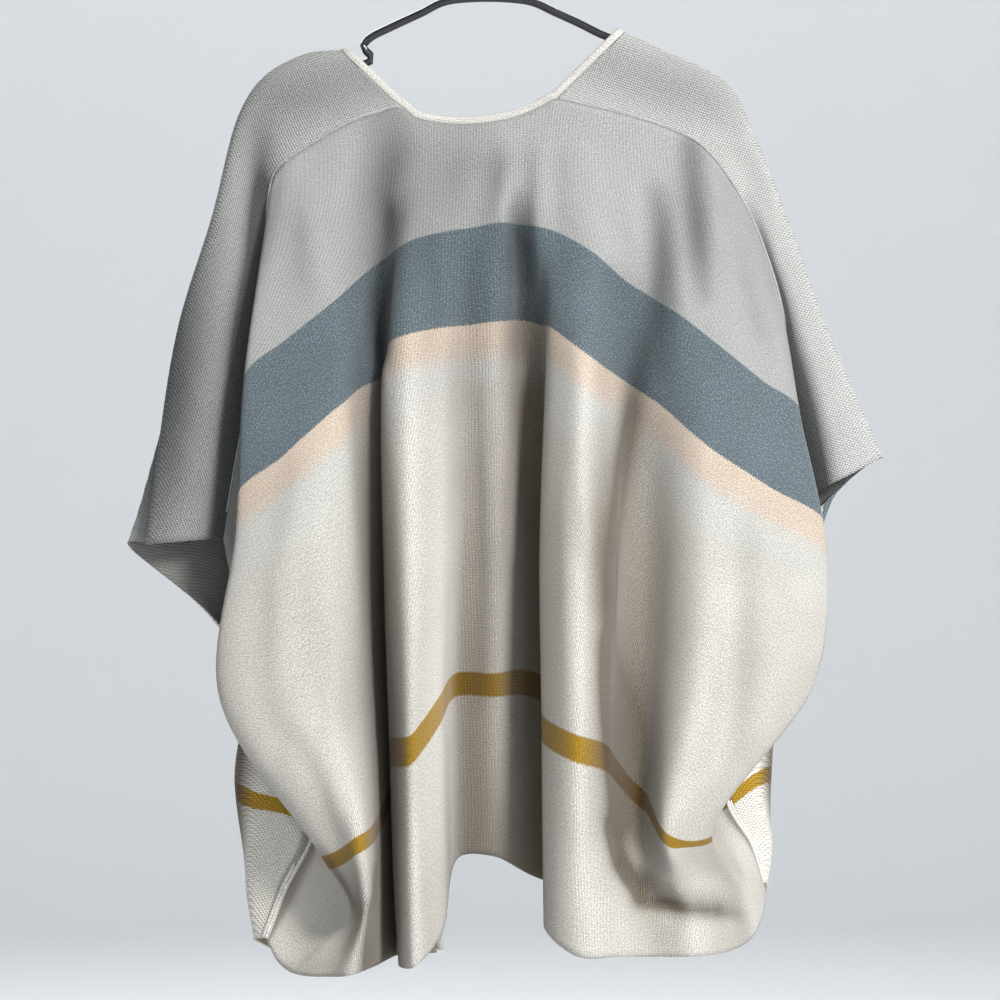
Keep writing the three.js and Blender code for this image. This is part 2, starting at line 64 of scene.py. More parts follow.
# the folds of the back, from the left side edge to the right one: for each, the places at the top
# edge, slate top, peach foot, waist, mustard, fold tip and hem
backFolds = [
    # across, down, out
    ([-238, -230, -203, -169, -156, -184, -200], [545, 583, 642, 705, 801, 862, 905],
     [4, 2, 0, -2, 0, 2, 4]),  # side edge
    ([-200, -176, -142, -129, -126, -130, -187], [318, 471, 592, 732, 815, 868, 927],
     [-1, 6, 10, 14, 18, 6, 14]),  # tuck
    ([-190, -217, -224, -238, -147, -122, -171], [217, 402, 541, 688, 828, 878, 935],
     [7, 29, 38, 42, 50, 42, 30]),  # fold edge
    ([-156, -178, -183, -192, -131, -115, -142], [191, 367, 507, 691, 821, 876, 936],
     [12, 34, 52, 66, 66, 52, 44]),  # left lobe
    ([-120, -138, -142, -138, -115, -108, -122], [171, 335, 470, 682, 808, 872, 933],
     [13, 36, 56, 72, 76, 64, 60]),
    ([-98, -113, -116, -112, -101, -101, -104], [163, 312, 446, 646, 794, 870, 927],
     [11, 32, 36, 38, 44, 48, 50]),
    ([-79, -95, -94, -91, -83, -82, -81], [159, 297, 434, 610, 750, 852, 921],
     [10, 30, 16, -4, -12, -10, -6]),  # deep valley
    ([-66, -82, -92, -90, -86, -82, -77], [168, 286, 402, 579, 725, 848, 927],
     [10, 31, 40, 38, 38, 40, 44]),  # overhang
    ([-50, -66, -71, -70, -68, -66, -65], [172, 278, 393, 565, 720, 846, 925],
     [9, 31, 50, 62, 66, 66, 66]),  # ridge
    ([-30, -43, -43, -43, -45, -43, -42], [174, 272, 387, 552, 688, 816, 898],
     [8, 26, 38, 44, 44, 44, 44]),
    ([-12, -18, -20, -23, -29, -28, -27], [174, 268, 384, 529, 667, 767, 833],
     [8, 20, 22, 16, 8, 3, 0]),  # plateau
    ([11, 11, 9, 7, 5, 4, 4], [171, 263, 381, 525, 667, 766, 831],
     [9, 24, 28, 24, 16, 9, 4]),
    ([31, 33, 31, 31, 34, 37, 38], [166, 265, 379, 522, 665, 776, 849],
     [10, 19, 11, -2, -10, -12, -12]),
    ([48, 46, 51, 58, 70, 74, 76], [158, 267, 384, 538, 682, 795, 867],
     [11, 24, 10, -8, -16, -16, -14]),  # hidden valley
    ([61, 62, 55, 48, 49, 50, 51], [152, 272, 386, 554, 702, 816, 891],
     [12, 26, 34, 36, 36, 38, 40]),  # overhang
    ([92, 92, 90, 83, 78, 80, 81], [158, 289, 414, 574, 719, 838, 916],
     [13, 34, 54, 68, 72, 70, 70]),  # right lobe
    ([128, 128, 123, 119, 112, 117, 119], [167, 318, 431, 592, 731, 846, 916],
     [14, 32, 48, 60, 62, 58, 64]),
    ([159, 162, 150, 141, 137, 140, 150], [177, 339, 454, 628, 769, 850, 917],
     [14, 30, 38, 40, 40, 42, 54]),  # soft trough
    ([191, 202, 196, 191, 158, 172, 186], [193, 370, 496, 673, 806, 856, 916],
     [14, 34, 54, 68, 66, 56, 62]),  # outer ridge
    ([231, 245, 249, 249, 177, 204, 218], [248, 405, 529, 682, 814, 858, 912],
     [14, 34, 52, 62, 60, 52, 44]),
    ([264, 278, 302, 291, 199, 224, 236], [342, 431, 561, 673, 810, 856, 902],
     [12, 26, 34, 38, 42, 34, 28]),  # fold edge
    ([272, 238, 204, 191, 182, 226, 247], [421, 484, 583, 714, 795, 838, 880],
     [4, 8, 10, 14, 18, 16, 14]),  # tuck
    ([294, 285, 267, 240, 216, 238, 249], [504, 552, 619, 700, 777, 820, 855],
     [4, 2, 0, -2, 0, 2, 4]),  # side edge
]

# each front, from its front edge to its side edge: the fold of the back's top edge that it is sewn
# to, how far the strip between seam and crest swells, then the places at the shoulder crest, slate
# top, peach foot, waist, mustard, fold tip and hem
leftFrontFolds = [
    (6, 0, [-133, -122, -111, -93, -66, -50, -47], [107, 331, 457, 601, 763, 859, 923],
     [0, -16, -24, -34, -44, -48, -50]),
    (4, 1, [-162, -156, -151, -138, -124, -105, -93], [110, 340, 457, 637, 781, 869, 927],
     [0, -22, -40, -60, -70, -75, -78]),
    (2.6, 0, [-200, -187, -183, -178, -169, -147, -133], [130, 367, 484, 673, 808, 884, 934],
     [0, -24, -36, -48, -52, -57, -60]),
    (1.7, 0, [-222, -219, -214, -207, -203, -183, -169], [162, 385, 529, 691, 817, 890, 939],
     [0, -26, -48, -66, -72, -72, -72]),
    (1.15, 4, [-247, -248, -237, -223, -229, -212, -188], [255, 421, 565, 700, 768, 864, 922],
     [0, -22, -36, -48, -44, -44, -40]),
    (0.55, 9, [-279, -291, -255, -203, -203, -216, -210], [361, 471, 592, 699, 780, 856, 907],
     [0, -16, -22, -24, -12, -12, -8]),
    (0, 11, [-307, -325, -254, -196, -156, -184, -200], [551, 550, 612, 691, 801, 862, 905],
     [-2, -16, -14, -12, 0, 2, 4]),
]
rightFrontFolds = [
    (14, 0, [123, 110, 101, 87, 76, 69, 65], [91, 331, 457, 601, 763, 852, 912],
     [0, -16, -24, -34, -44, -48, -50]),
    (16, 1, [157, 150, 146, 137, 130, 123, 119], [107, 340, 466, 637, 781, 862, 916],
     [0, -22, -40, -60, -70, -75, -78]),
    (18, 1, [216, 204, 195, 191, 177, 175, 173], [138, 367, 493, 673, 799, 872, 921],
     [0, -24, -36, -48, -52, -57, -60]),
    (19, 1, [239, 240, 238, 231, 222, 220, 218], [182, 394, 538, 691, 799, 867, 912],
     [0, -26, -48, -66, -72, -72, -72]),
    (20, 5, [271, 276, 272, 261, 257, 252, 244], [262, 421, 565, 691, 754, 832, 880],
     [0, -22, -36, -48, -44, -46, -40]),
    (21, 9, [305, 312, 292, 258, 238, 254, 251], [357, 457, 565, 682, 759, 820, 860],
     [0, -14, -20, -24, -12, -11, -8]),
    (22, 11, [355, 337, 292, 254, 216, 238, 249], [473, 484, 529, 655, 777, 820, 855],
     [-2, -12, -12, -10, 0, 2, 4]),
]

# how the cloth is built, in millimetres, shares, and folds and levels as the tables above count them
cloth = {
    "wall": 2.4, "seamGap": 0.3, "seamLean": 3,
    "weltTop": 3.6, "sewnAbove": 1, "openingStep": 14, "openingSpread": 10,
    "rollOut": 6.5, "rollDown": 6, "swellShare": 0.3,
    "leftNeckCorner": 6, "rightNeckCorner": 14,
    "columnsPerFold": 12, "backRows": [22, 18, 22, 26, 16, 12],
    "frontRows": [8, 8, 5, 5, 16, 14, 18, 24, 16, 12],
}
probe = 0.02  # step along a curve, in folds or levels, that finds its direction

# the knit's own measure down the cloth, in metres below the top of the slate stripe
stripeMarks = {"slateTop": 0.0, "slateFoot": 0.090, "peachFoot": 0.118, "waist": 0.270,
               "mustardTop": 0.405, "mustardFoot": 0.423, "foldTip": 0.495, "hem": 0.560}
levelMarks = [stripeMarks[k] for k in ("slateTop", "peachFoot", "waist", "mustardTop", "foldTip", "hem")]


def splinePlace(points, at):
    # centripetal curve through the points; whole numbers of at are the points themselves
    last = len(points) - 1
    low = min(int(at), last - 1)
    t = at - low
    p1, p2 = points[low], points[low + 1]
    p0 = points[low - 1] if low > 0 else 2 * p1 - p2
    p3 = points[low + 2] if low + 2 <= last else 2 * p2 - p1
    d0, d1, d2 = ((b - a).length ** 0.5 for a, b in ((p0, p1), (p1, p2), (p2, p3)))
    m1 = ((p1 - p0) / d0 - (p2 - p0) / (d0 + d1) + (p2 - p1) / d1) * d1
    m2 = ((p2 - p1) / d1 - (p3 - p1) / (d1 + d2) + (p3 - p2) / d2) * d1
    return p1 + m1 * t + (3 * (p2 - p1) - 2 * m1 - m2) * t * t + (2 * (p1 - p2) + m1 + m2) * t ** 3


def levelLines(folds):
    return [[place(a[k], d[k], o[k]) for a, d, o in folds] for k in range(len(folds[0][0]))]


def foldPlaces(lines, fold):
    return [splinePlace(line, fold) for line in lines]


def stations(counts):
    steps = [0.0]
    for span, count in enumerate(counts):
        steps += [span + k / count for k in range(1, count + 1)]
    return steps


def smooth(x, low, high):
    t = min(max((x - low) / (high - low), 0.0), 1.0)
    return t * t * (3 - 2 * t)


def ramp(places, low, high):
    return np.array([smooth(x, low, high) for x in places])


backLines = levelLines(backFolds)

def backPlace(fold, level):
    return splinePlace(foldPlaces(backLines, fold), level)


def edgeFrame(fold, level, alongTop):
    # the point, the outward normal and the way into the back panel at one of its sewn edges
    lastFold, lastLevel = len(backFolds) - 1, len(backLines) - 1
    f = min(max(fold, probe), lastFold - probe)
    v = min(max(level, probe), lastLevel - probe)
    acrossWay = (backPlace(f + probe, v) - backPlace(f - probe, v)).normalized()
    downWay = (backPlace(f, v + probe) - backPlace(f, v - probe)).normalized()
    along = acrossWay if alongTop else downWay
    normal = -acrossWay.cross(downWay).normalized()
    if alongTop:
        normal += Vector((0, -1, 0)) * cloth["seamLean"]
    normal = (normal - along * normal.dot(along)).normalized()
    inward = along.cross(normal).normalized()
    wanted = downWay if alongTop else acrossWay * (1 if fold < lastFold / 2 else -1)
    if inward.dot(wanted) < 0:
        inward = -inward
    return backPlace(fold, level), normal, inward


def sewnShare(level):
    # 1 along the side seam and 0 at the arm opening; between them the panels draw together
    return smooth(level, cloth["weltTop"] - cloth["sewnAbove"], cloth["weltTop"])


def gridNormals(grid):
    # grid is columns x rows x 3; the normal looks to the same side as the drawn outside
    acrossWay = np.empty_like(grid)
    acrossWay[1:-1] = grid[2:] - grid[:-2]
    acrossWay[0], acrossWay[-1] = grid[1] - grid[0], grid[-1] - grid[-2]
    downWay = np.empty_like(grid)
    downWay[:, 1:-1] = grid[:, 2:] - grid[:, :-2]
    downWay[:, 0], downWay[:, -1] = grid[:, 1] - grid[:, 0], grid[:, -1] - grid[:, -2]
    normal = -np.cross(acrossWay, downWay)
    return normal / np.linalg.norm(normal, axis=2, keepdims=True)


# small creases of the back, finer than the big folds: from, to, half width, height (a minus is a trough)
backCreases = [
    ((-52, 268), (-50, 372), 9, -2.2),
    ((30, 244), (31, 380), 9, -8),
    ((-93, 255), (-96, 380), 10, -8),
    ((-93, 170), (-92, 262), 22, -8),
    ((0, 170), (2, 262), 14, -6),
    ((-45, 180), (-45, 262), 50, -6),
    ((12, 300), (10, 470), 9, -2.2),
    ((22, 380), (20, 560), 7, 2.0),
    ((-8, 420), (-12, 700), 8, -2.4),
    ((84, 396), (86, 560), 6, 2.6),
    ((101, 396), (102, 610), 8, -2.8),
    ((119, 330), (127, 800), 25, -15),
    ((78, 380), (80, 800), 11, 4.0),
    ((150, 236), (156, 400), 11, -8),
    ((182, 165), (192, 330), 10, -6),
    ((230, 470), (236, 640), 16, 2.4),
    ((258, 560), (226, 742), 12, -2.8),
    ((206, 640), (178, 770), 12, -2.6),
    ((113, 800), (124, 840), 11, -6),
    ((124, 840), (143, 865), 11, -8),
    ((143, 865), (166, 875), 11, -8),
    ((166, 875), (200, 877), 11, -8),
    ((200, 877), (228, 878), 9, -5),
    ((84, 560), (92, 860), 12, -1.8),
    ((-168, 470), (-182, 640), 14, 2.2),
    ((-205, 600), (-188, 740), 12, -2.4),
    ((-176, 720), (-132, 806), 11, -3.0),
    ((-152, 560), (-146, 720), 10, -1.8),
    ((-128, 370), (-110, 860), 9, 5.0),
    ((-176, 205), (-146, 325), 12, 3.5),
    ((-196, 908), (-140, 902), 10, -2.0),
    ((-164, 872), (-150, 912), 20, 9.0),
    ((-60, 640), (-58, 880), 6, -1.6),
    ((-130, 200), (-150, 300), 18, 1.6),
    ((-30, 190), (-26, 250), 10, -1.4),
    ((70, 185), (84, 262), 14, 1.4),
    ((214, 262), (246, 372), 12, -2.4),
    ((236, 300), (262, 400), 9, 2.0),
]
# painted shade laid into the wool's colour beyond what the folds give, and a minus where painted
# shade is taken away: from, to, half width, share
backPaintedShade = [
    ((-101, 60), (-94, 380), 26, 0.34),
    ((-50, 60), (-45, 360), 45, 0.24),
    ((177, 60), (193, 340), 14, 0.46),
    ((158, 220), (110, 650), 13, 0.45),
    ((226, 470), (228, 760), 14, 0.26),
    ((-160, 500), (-150, 740), 20, 0.22),
    ((20, 240), (30, 325), 14, 0.20),
    ((-188, 190), (-208, 335), 9, 0.36),
    ((-36, 400), (-34, 960), 18, -0.36),
    ((20, 430), (22, 880), 14, -0.24),
    ((104, 430), (112, 780), 18, 0.32),
    ((106, 620), (123, 850), 13, 0.62),
    ((-100, 830), (-98, 985), 13, 0.80),
    ((-195, 840), (-140, 920), 30, -0.40),
    ((110, 790), (138, 880), 7, 0.45),
    ((124, 868), (240, 882), 6, 0.45),
    ((-152, 812), (-112, 886), 5, 0.40),
]
leftFrontPaintedShade = [
    ((-300, 165), (20, 115), 42, 0.46),
    ((-235, 150), (-340, 660), 30, 0.62),
    ((-205, 120), (-285, 640), 34, 0.28),
    ((-196, 165), (-222, 400), 13, 0.90),
    ((-212, 290), (-230, 545), 12, 0.60),
    ((-234, 690), (-160, 820), 10, 0.55),
]
rightFrontPaintedShade = [
    ((20, 95), (290, 170), 36, 0.30),
    ((262, 300), (304, 525), 11, 0.62),
]

# similar ones on the hidden side
leftFrontCreases = [
    ((-150, 200), (-146, 420), 14, -2.4),
    ((-126, 380), (-104, 640), 12, 2.4),
    ((-178, 420), (-168, 700), 14, -3.0),
    ((-210, 300), (-232, 470), 14, 2.6),
    ((-140, 640), (-110, 900), 13, -3.2),
    ((-196, 720), (-150, 880), 12, 2.8),
    ((-86, 700), (-62, 900), 9, -2.2),
]
rightFrontCreases = [
    ((150, 190), (146, 430), 14, -2.4),
    ((118, 400), (104, 660), 12, 2.4),
    ((190, 380), (184, 650), 14, -3.0),
    ((232, 280), (262, 440), 14, 2.6),
    ((152, 660), (136, 880), 13, -3.2),
    ((216, 690), (196, 850), 12, 2.8),
    ((96, 700), (84, 880), 9, -2.2),
]


# each stroke swings a share of its half width to the sides, and its tips keep a share of its height
strokeShape = {"swing": 0.35, "swingTurn": 5.0, "tips": 0.35, "span": 3.5}

def strokes(x, z, creases, tips=strokeShape["tips"]):
    # x and z in metres; a stroke is fullest in its middle, and with tips of 0 it fades out to nothing
    span = strokeShape["span"]
    total = np.zeros_like(x)
    for (x0, d0), (x1, d1), halfWidth, height in creases:
        ax, az, bx, bz = x0 * mm, -d0 * mm, x1 * mm, -d1 * mm
        length2 = (bx - ax) ** 2 + (bz - az) ** 2
        t = np.clip(((x - ax) * (bx - ax) + (z - az) * (bz - az)) / length2, 0, 1)
        swing = strokeShape["swing"] * halfWidth * mm * np.sin(t * strokeShape["swingTurn"] + x0)
        away = np.hypot(x - ax - t * (bx - ax) - swing, z - az - t * (bz - az))
        middle = np.clip((tips + (span - 2 * tips) * t) / span, 0, 1)
        fade = tips + (1 - tips) * np.sin(math.pi * middle)
        total += height * mm * fade * np.exp(-((away / (halfWidth * mm)) ** 2))
    return total


def measureCut(grid, levels, marks, markLevel, middle):
    # u runs along each row of knitting from the middle column, v down the cloth; above the slate the
    # true length of the cloth is used, so that the stitches keep their size
    rowSteps = np.linalg.norm(np.diff(grid, axis=0), axis=2)
    u = np.vstack([np.zeros((1, grid.shape[1])), np.cumsum(rowSteps, axis=0)])
    u = u - u[middle]
    v = np.empty(grid.shape[:2])
    columnSteps = np.linalg.norm(np.diff(grid, axis=1), axis=2)
    first = next(k for k, level in enumerate(levels) if level >= markLevel)
    for j, level in enumerate(levels):
        if level >= markLevel:
            v[:, j] = np.interp(level - markLevel, range(len(marks)), marks)
    for j in range(first - 1, -1, -1):
        v[:, j] = v[:, j + 1] - columnSteps[:, j]
    return u, v


# painted shade in the folds: how far a fold's shade reaches in millimetres, the part of it that
# comes from above, rounds of smoothing, and how much painted shade lies beside a seam
foldShade = {"reach": 95, "above": 0.35, "rounds": 3, "seam": 0.5}

def horizons(along, out, reach):
    # for each place of a line, the sines of how high the folds stand before it and after it
    gap, rise = along[None, :] - along[:, None], out[None, :] - out[:, None]
    sine = np.clip(rise, 0, None) / np.maximum(np.hypot(gap, rise), tiny)
    sine[np.abs(gap) > reach * mm] = 0
    return np.where(gap < 0, sine, 0).max(axis=1), np.where(gap > 0, sine, 0).max(axis=1)


def openShare(grid, side):
    # how much of the room in front of it each place sees past the folds beside it and above it
    share = np.ones(grid.shape[:2])
    out = grid[:, :, 1] * side
    for j in range(grid.shape[1]):
        left, right = horizons(grid[:, j, 0], out[:, j], foldShade["reach"])
        share[:, j] -= (left + right) / 2
    for i in range(grid.shape[0]):
        above = horizons(grid[i, :, 2], out[i], foldShade["reach"] / 2)[1]
        share[i] -= foldShade["above"] * above
    for _ in range(foldShade["rounds"]):
        share[1:-1] = (share[2:] + 2 * share[1:-1] + share[:-2]) / 4
        share[:, 1:-1] = (share[:, 2:] + 2 * share[:, 1:-1] + share[:, :-2]) / 4
    return share


def intoScene(name, mesh):
    data = bpy.data.meshes.new(name)
    mesh.to_mesh(data)
    mesh.free()
    thing = bpy.data.objects.new(name, data)
    bpy.context.scene.collection.objects.link(thing)
    return thing


def makeSheet(name, outside, u, v, share, reverse=False):
    # a flat grid of the cut, laid on the places of its outside
    columns, rows = outside.shape[:2]
    mesh = bmesh.new()
    cut = mesh.loops.layers.uv.new("cut")
    # the open share stored here sets how much painted shade the finish lays on each place
    seen = mesh.verts.layers.float.new("open")
    bmesh.ops.create_grid(mesh, x_segments=columns - 1, y_segments=rows - 1, size=1)
    at = {}
    for vert in mesh.verts:
        at[vert] = (round((vert.co.x + 1) / 2 * (columns - 1)), round((1 - vert.co.y) / 2 * (rows - 1)))
    for face in mesh.faces:
        face.smooth = True
        for loop in face.loops:
            i, j = at[loop.vert]
            loop[cut].uv = (u[i, j], v[i, j])
    for vert, (i, j) in at.items():
        vert.co = outside[i, j]
        vert[seen] = share[i, j]
    if reverse:
        bmesh.ops.reverse_faces(mesh, faces=mesh.faces)
    return intoScene(name, mesh)


def addWall(piece, outsideFinish, insideFinish):
    piece.data.materials.append(outsideFinish)
    piece.data.materials.append(insideFinish)
    wall = piece.modifiers.new("wall", "SOLIDIFY")
    wall.thickness = cloth["wall"] * mm
    wall.offset = -1
    wall.material_offset = 1
    wall.use_even_offset = False


# knit finishes, in metres of cloth; a range holds the two values that come out, and after them the
# two that go in where those aren't 0 and 1
knitLooks = {
    "wale": 0.0027, "course": 0.0024, "lean": 0.9, "ripple": (0.62, 1.0, -1, 1), "jerseyJag": 0.0012,
    "meshWide": 1.12, "meshTall": 1.2, "meshWave": (0.0, 1.0, -0.8, 0.8), "meshJag": 0.0006,
    "meshTurn": 0.45, "meshDepth": 0.8,
    "wobbleNoise": (30, 0.0), "slip": 0.0012, "slipDown": 0.7,
    "fleckNoise": (700, 1.0, 0.6), "fleckShade": (0.70, 1.26, 0.3, 0.7), "fleckRelief": 0.35,
    "patchNoise": (14, 3.0), "patchShade": (0.95, 1.05, 0.3, 0.7), "deepShade": (0.58, 1.12),
    "specks": (0.0, 1.0, 0.5, 0.72), "insideFade": (0.0, 1.0, 0.34, 0.44), "paintedShadeFade": (1.0, 0.0, 0.2, 0.92),
    "ragged": 0.0022, "bumpStrength": 0.75, "bumpHeight": 0.0012,
}
edgeFades = {"crisp": (-0.0007, 0.0007), "peach": (-0.010, 0.012), "warm": (0.002, 0.085)}
yarns = {
    "heather": (0.540, 0.540, 0.520), "slate": (0.150, 0.195, 0.222), "slateSpeck": (0.290, 0.340, 0.365),
    "peach": (0.850, 0.695, 0.560), "coolCream": (0.800, 0.790, 0.745), "cream": (0.880, 0.835, 0.755),
    "mustard": (0.480, 0.280, 0.016), "inside": (0.300, 0.295, 0.275), "insideLow": (0.560, 0.470, 0.310),
    "edging": (0.82, 0.79, 0.72), "sideSeam": (0.84, 0.81, 0.74),
    # painted shade colours that the folds' darkening blends towards
    "greyShade": (0.17, 0.18, 0.18), "creamShade": (0.20, 0.17, 0.135),
}
# below the slate, from the top down: mark on the cut, how its edge fades, and the yarn that follows
stripes = [
    ("slateFoot", "crisp", "peach"), ("peachFoot", "peach", "coolCream"), ("peachFoot", "warm", "cream"),
    ("mustardTop", "crisp", "mustard"), ("mustardFoot", "crisp", "cream"),
]
knitSurface = {
    "Roughness": 0.93, "Specular IOR Level": 0.22, "Sheen Weight": 0.25, "Sheen Roughness": 0.5,
}


class NodeDesk:
    # short ways to put nodes into one material
    def __init__(self, name):
        self.material = bpy.data.materials.new(name)
        self.material.use_nodes = True
        self.tree = self.material.node_tree
        self.shader = self.tree.nodes["Principled BSDF"]

    def add(self, kind, **settings):
        node = self.tree.nodes.new(kind)
        for key, value in settings.items():
            setattr(node, key, value)
        return node

    def join(self, value, socket):
        if isinstance(value, bpy.types.NodeSocket):
            self.tree.links.new(value, socket)
        else:
            socket.default_value = value

    def split(self, vector):
        node = self.add("ShaderNodeSeparateXYZ")
        self.join(vector, node.inputs[0])
        return node.outputs

    def math(self, operation, a, b=0.0):
        node = self.add("ShaderNodeMath", operation=operation)
        self.join(a, node.inputs[0])
        self.join(b, node.inputs[1])
        return node.outputs[0]

    def mix(self, share, a, b, blend="MIX"):
        node = self.add("ShaderNodeMix", data_type="RGBA", blend_type=blend)
        self.join(share, node.inputs["Factor"])
        self.join(a, node.inputs["A"])
        self.join(b, node.inputs["B"])
        return node.outputs["Result"]

    def noise(self, vector, scale, detail, roughness=0.5):
        node = self.add("ShaderNodeTexNoise")
        self.join(vector, node.inputs["Vector"])
        self.join(scale, node.inputs["Scale"])
        self.join(detail, node.inputs["Detail"])
        self.join(roughness, node.inputs["Roughness"])
        return node.outputs["Fac"]

    def spread(self, value, low, high, fromLow=0.0, fromHigh=1.0, softStep=False):
        node = self.add("ShaderNodeMapRange", interpolation_type="SMOOTHSTEP" if softStep else "LINEAR")
        for socket, number in zip(list(node.inputs)[:5], (value, fromLow, fromHigh, low, high)):
            self.join(number, socket)
        return node.outputs["Result"]

    def bump(self, height, strength, distance):
        node = self.add("ShaderNodeBump")
        self.join(height, node.inputs["Height"])
        self.join(strength, node.inputs["Strength"])
        self.join(distance, node.inputs["Distance"])
        self.join(node.outputs[0], self.shader.inputs["Normal"])

    def surface(self, values):
        for name, value in values.items():
            self.join(value, self.shader.inputs[name])


def colour(rgb):
    return (*rgb, 1.0)


def shoulderPlace(desk):
    # on the slanting shoulders the stitches lie square to each other and turned along the slope
    x, y, z = desk.split(desk.add("ShaderNodeTexCoord").outputs["Object"])
    side = desk.math("SUBTRACT", desk.math("ABSOLUTE", x), desk.math("MULTIPLY", y, knitLooks["meshDepth"]))
    c, s = math.cos(knitLooks["meshTurn"]), math.sin(knitLooks["meshTurn"])
    return (desk.math("ADD", desk.math("MULTIPLY", side, c), desk.math("MULTIPLY", z, s)),
            desk.math("SUBTRACT", desk.math("MULTIPLY", z, c), desk.math("MULTIPLY", side, s)))


# each stitch gives the height of its yarn, and how far it pushes the edge of a stripe
def jerseyStitch(desk, u, v):
    halfWale = knitLooks["wale"] / 2
    leg = desk.math("DIVIDE", desk.math("PINGPONG", u, halfWale), halfWale)
    legHeight = desk.math("SINE", desk.math("MULTIPLY", leg, math.pi))
    lean = desk.math("MULTIPLY", leg, knitLooks["lean"])
    beat = desk.math("ADD", desk.math("DIVIDE", v, knitLooks["course"]), lean)
    wave = desk.math("SINE", desk.math("MULTIPLY", beat, 2 * math.pi))
    height = desk.math("MULTIPLY", legHeight, desk.spread(wave, *knitLooks["ripple"]))
    return height, desk.math("MULTIPLY", leg, knitLooks["jerseyJag"])


def meshStitch(desk, u, v):
    wide, tall = knitLooks["wale"] * knitLooks["meshWide"], knitLooks["course"] * knitLooks["meshTall"]
    acrossWave = desk.math("SINE", desk.math("MULTIPLY", u, 2 * math.pi / wide))
    downWave = desk.math("SINE", desk.math("MULTIPLY", v, 2 * math.pi / tall))
    height = desk.spread(desk.math("MULTIPLY", acrossWave, downWave), *knitLooks["meshWave"])
    return height, desk.math("MULTIPLY", acrossWave, knitLooks["meshJag"])


def past(desk, edgeAt, mark, fade="crisp"):
    # 0 above a mark of the cut, 1 below it
    start, stop = edgeFades[fade]
    mark = stripeMarks[mark]
    return desk.spread(edgeAt, 0.0, 1.0, mark + start, mark + stop, softStep=True)


def stripedYarn(desk, edgeAt, fleck):
    specks = desk.spread(fleck, *knitLooks["specks"])
    slate = desk.mix(specks, colour(yarns["slate"]), colour(yarns["slateSpeck"]))
    yarn = desk.mix(past(desk, edgeAt, "slateTop"), colour(yarns["heather"]), slate)
    for mark, fade, below in stripes:
        yarn = desk.mix(past(desk, edgeAt, mark, fade), yarn, colour(yarns[below]))
    return yarn


def insideYarn(desk, edgeAt, fleck):
    low = desk.spread(edgeAt, *knitLooks["insideFade"], softStep=True)
    return desk.mix(low, colour(yarns["inside"]), colour(yarns["insideLow"]))


def shadeFolds(desk, edgeAt, yarn):
    # painted shade: darker down in the folds where the open share is low, grey above the peach foot, warm
    # below
    seen = desk.add("ShaderNodeAttribute", attribute_name="open").outputs["Fac"]
    deep = desk.mix(past(desk, edgeAt, "peachFoot", "peach"), colour(yarns["greyShade"]),
                    colour(yarns["creamShade"]))
    shadow = desk.mix(desk.spread(seen, *knitLooks["paintedShadeFade"]), (1, 1, 1, 1), deep)
    return desk.mix(1.0, yarn, shadow, blend="MULTIPLY")


def knitFinish(name, yarn, stitch=jerseyStitch, onShoulder=False, bump=1.0):
    # yarn is one colour or a function that makes it
    desk = NodeDesk(name)
    cutMap = desk.add("ShaderNodeUVMap", uv_map="cut").outputs["UV"]
    cutAcross, cutDown, _ = desk.split(cutMap)
    u, v = shoulderPlace(desk) if onShoulder else (cutAcross, cutDown)
    wobble = desk.math("SUBTRACT", desk.noise(cutMap, *knitLooks["wobbleNoise"]), 0.5)
    slip = desk.math("MULTIPLY", wobble, knitLooks["slip"])
    u = desk.math("ADD", u, slip)
    v = desk.math("ADD", v, desk.math("MULTIPLY", slip, knitLooks["slipDown"]))
    height, jag = stitch(desk, u, v)
    fleck = desk.noise(cutMap, *knitLooks["fleckNoise"])
    ragged = desk.math("MULTIPLY", desk.math("SUBTRACT", fleck, 0.5), knitLooks["ragged"])
    edgeAt = desk.math("ADD", desk.math("ADD", cutDown, jag), ragged)
    tone = yarn(desk, edgeAt, fleck) if callable(yarn) else colour(yarn)
    fleckShade = desk.spread(fleck, *knitLooks["fleckShade"])
    patchShade = desk.spread(desk.noise(cutMap, *knitLooks["patchNoise"]), *knitLooks["patchShade"])
    # painted shade in the low gaps between the stitches
    deep = desk.spread(height, *knitLooks["deepShade"])
    shade = desk.math("MULTIPLY", desk.math("MULTIPLY", fleckShade, patchShade), deep)
    grey = desk.add("ShaderNodeCombineColor")
    for socket in list(grey.inputs)[:3]:
        desk.join(shade, socket)
    tone = desk.mix(1.0, tone, grey.outputs[0], blend="MULTIPLY")
    # painted shade in the folds, on the striped cloth only
    if yarn is stripedYarn:
        tone = shadeFolds(desk, edgeAt, tone)
    desk.join(tone, desk.shader.inputs["Base Color"])
    relief = desk.math("ADD", height, desk.math("MULTIPLY", fleck, knitLooks["fleckRelief"]))
    desk.bump(relief, knitLooks["bumpStrength"] * bump, knitLooks["bumpHeight"])
    desk.surface(knitSurface)
    return desk.material


jersey = knitFinish("stripedJersey", stripedYarn)
shoulderKnit = knitFinish("stripedMesh", stripedYarn, meshStitch, onShoulder=True)
wrongSide = knitFinish("wrongSide", insideYarn, meshStitch, bump=1.2)
edgingKnit = knitFinish("edgingKnit", yarns["edging"])
sideSeamKnit = knitFinish("sideSeamKnit", yarns["sideSeam"], bump=0.8)
shoulderSeamKnit = knitFinish("shoulderSeamKnit", yarns["heather"], bump=0.8)
print("stage: knit finishes made")


# over which levels and folds the small creases come in beside the back's edges, how much of the
# folds' shade stays at the edges, and over which folds a seam's shade fades
backForm = {"creaseLevels": (0.0, 0.5), "creaseFolds": (1.6, 2.4), "edgeShade": 0.3, "seamFade": (0.12, 0.3)}
# the mustard runs out under the right bulge's rim: lift in millimetres, then folds and levels
backRim = {"lift": 15, "foldsIn": (18.1, 19.4), "foldsOut": (19.9, 20.2),
           "levelsIn": (4.0, 4.15), "levelsOut": (4.6, 5.0)}

